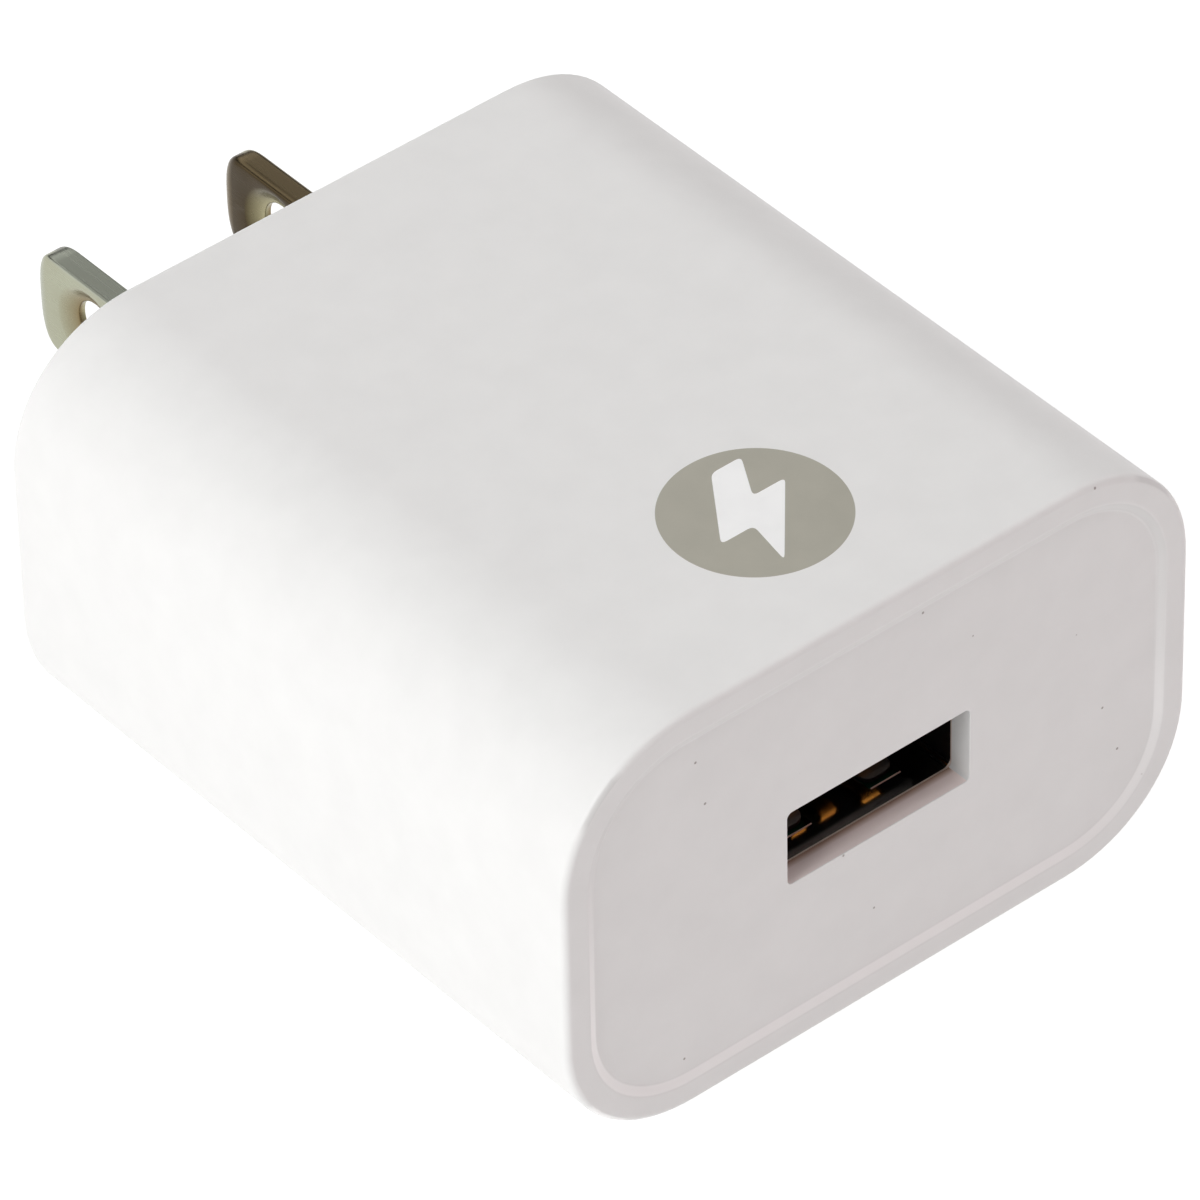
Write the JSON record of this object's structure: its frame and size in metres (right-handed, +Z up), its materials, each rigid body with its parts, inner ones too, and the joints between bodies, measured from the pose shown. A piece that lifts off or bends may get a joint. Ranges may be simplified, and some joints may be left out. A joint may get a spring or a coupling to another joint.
{
  "type": "usb wall charger",
  "caption": "Plug-in wall charger: a white rounded-box housing with fixed flat blades at the back and a type-A port in the front, over a full circuit-board assembly.",
  "frame": {"origin": "centre of the rear face, the one that lies against the wall plate, midway between the blades", "axes": "+Y along the blades into the socket, +Z up with the charger lying on its broad side, +X to the right as seen from the port side"},
  "size_m": [0.0416, 0.0604, 0.026],
  "materials": {
    "white_plastic": "satin",
    "plated_brass": "satin",
    "spring_brass": "satin",
    "plated_steel": "polished",
    "gold_plate": "polished",
    "black_plastic": "satin",
    "board_laminate": "satin",
    "resistor_enamel": "satin",
    "chip_resin": "matte",
    "input_sleeve": "satin",
    "output_sleeve": "satin",
    "ferrite": "matte",
    "copper_wire": "satin",
    "yellow_tape": "satin",
    "blue_ceramic": "satin",
    "chip_ceramic": "satin",
    "tan_ceramic": "satin",
    "clear_film": "satin"
  },
  "bodies": {
    "root": {"housing": "white_plastic", "rear_cover": "white_plastic", "prong_left": "plated_brass", "prong_right": "plated_brass", "contact_spring_left": "spring_brass", "contact_spring_right": "spring_brass", "usb_shell": "plated_steel", "usb_insulator": "black_plastic", "usb_contact_1": "gold_plate", "usb_contact_2": "gold_plate", "usb_contact_3": "gold_plate", "usb_contact_4": "gold_plate", "circuit_board": "board_laminate", "fusible_resistor": "resistor_enamel", "bridge_rectifier": "chip_resin", "input_capacitor_1": "input_sleeve", "input_capacitor_2": "input_sleeve", "output_capacitor_1": "output_sleeve", "output_capacitor_2": "output_sleeve", "choke_core": "ferrite", "choke_winding": "copper_wire", "transformer_bobbin": "black_plastic", "transformer_winding": "copper_wire", "transformer_tape": "yellow_tape", "transformer_core_front": "ferrite", "transformer_core_rear": "ferrite", "safety_capacitor": "blue_ceramic", "controller_chip": "chip_resin", "output_diode": "chip_resin", "clamp_diode": "chip_resin", "clamp_resistor": "chip_ceramic", "sense_resistor": "chip_ceramic", "load_resistor": "chip_ceramic", "clamp_capacitor": "tan_ceramic", "insulation_sheet": "clear_film"}
  },
  "joints": []
}
